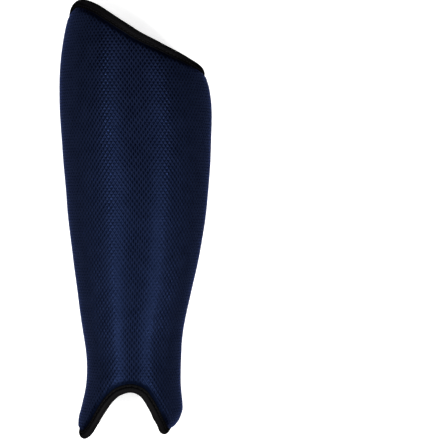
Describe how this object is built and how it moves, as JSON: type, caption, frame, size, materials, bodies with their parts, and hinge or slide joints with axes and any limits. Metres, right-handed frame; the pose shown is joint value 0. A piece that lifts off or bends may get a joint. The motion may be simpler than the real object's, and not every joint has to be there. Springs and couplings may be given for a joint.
{
  "type": "field hockey shin guard",
  "caption": "Padded shin guard that wraps round the front of a lower leg, with a slanted knee edge, an arch over the instep and folded edge binding.",
  "frame": {"origin": "middle of the footprint on the surface that the guard lies on, open side down", "axes": "+X across the shin to its inner side, +Y up the shin from ankle to knee, +Z out of the front of the shin"},
  "size_m": [0.11, 0.319, 0.0783],
  "materials": {
    "navy_knit": "small-celled mesh knit with a soft sheen",
    "black_tape": "woven binding tape, folded and stitched"
  },
  "bodies": {
    "root": {"padded_shell": "navy_knit", "knee_binding": "black_tape", "ankle_binding": "black_tape", "outer_side_binding": "black_tape", "inner_side_binding": "black_tape"}
  },
  "joints": []
}
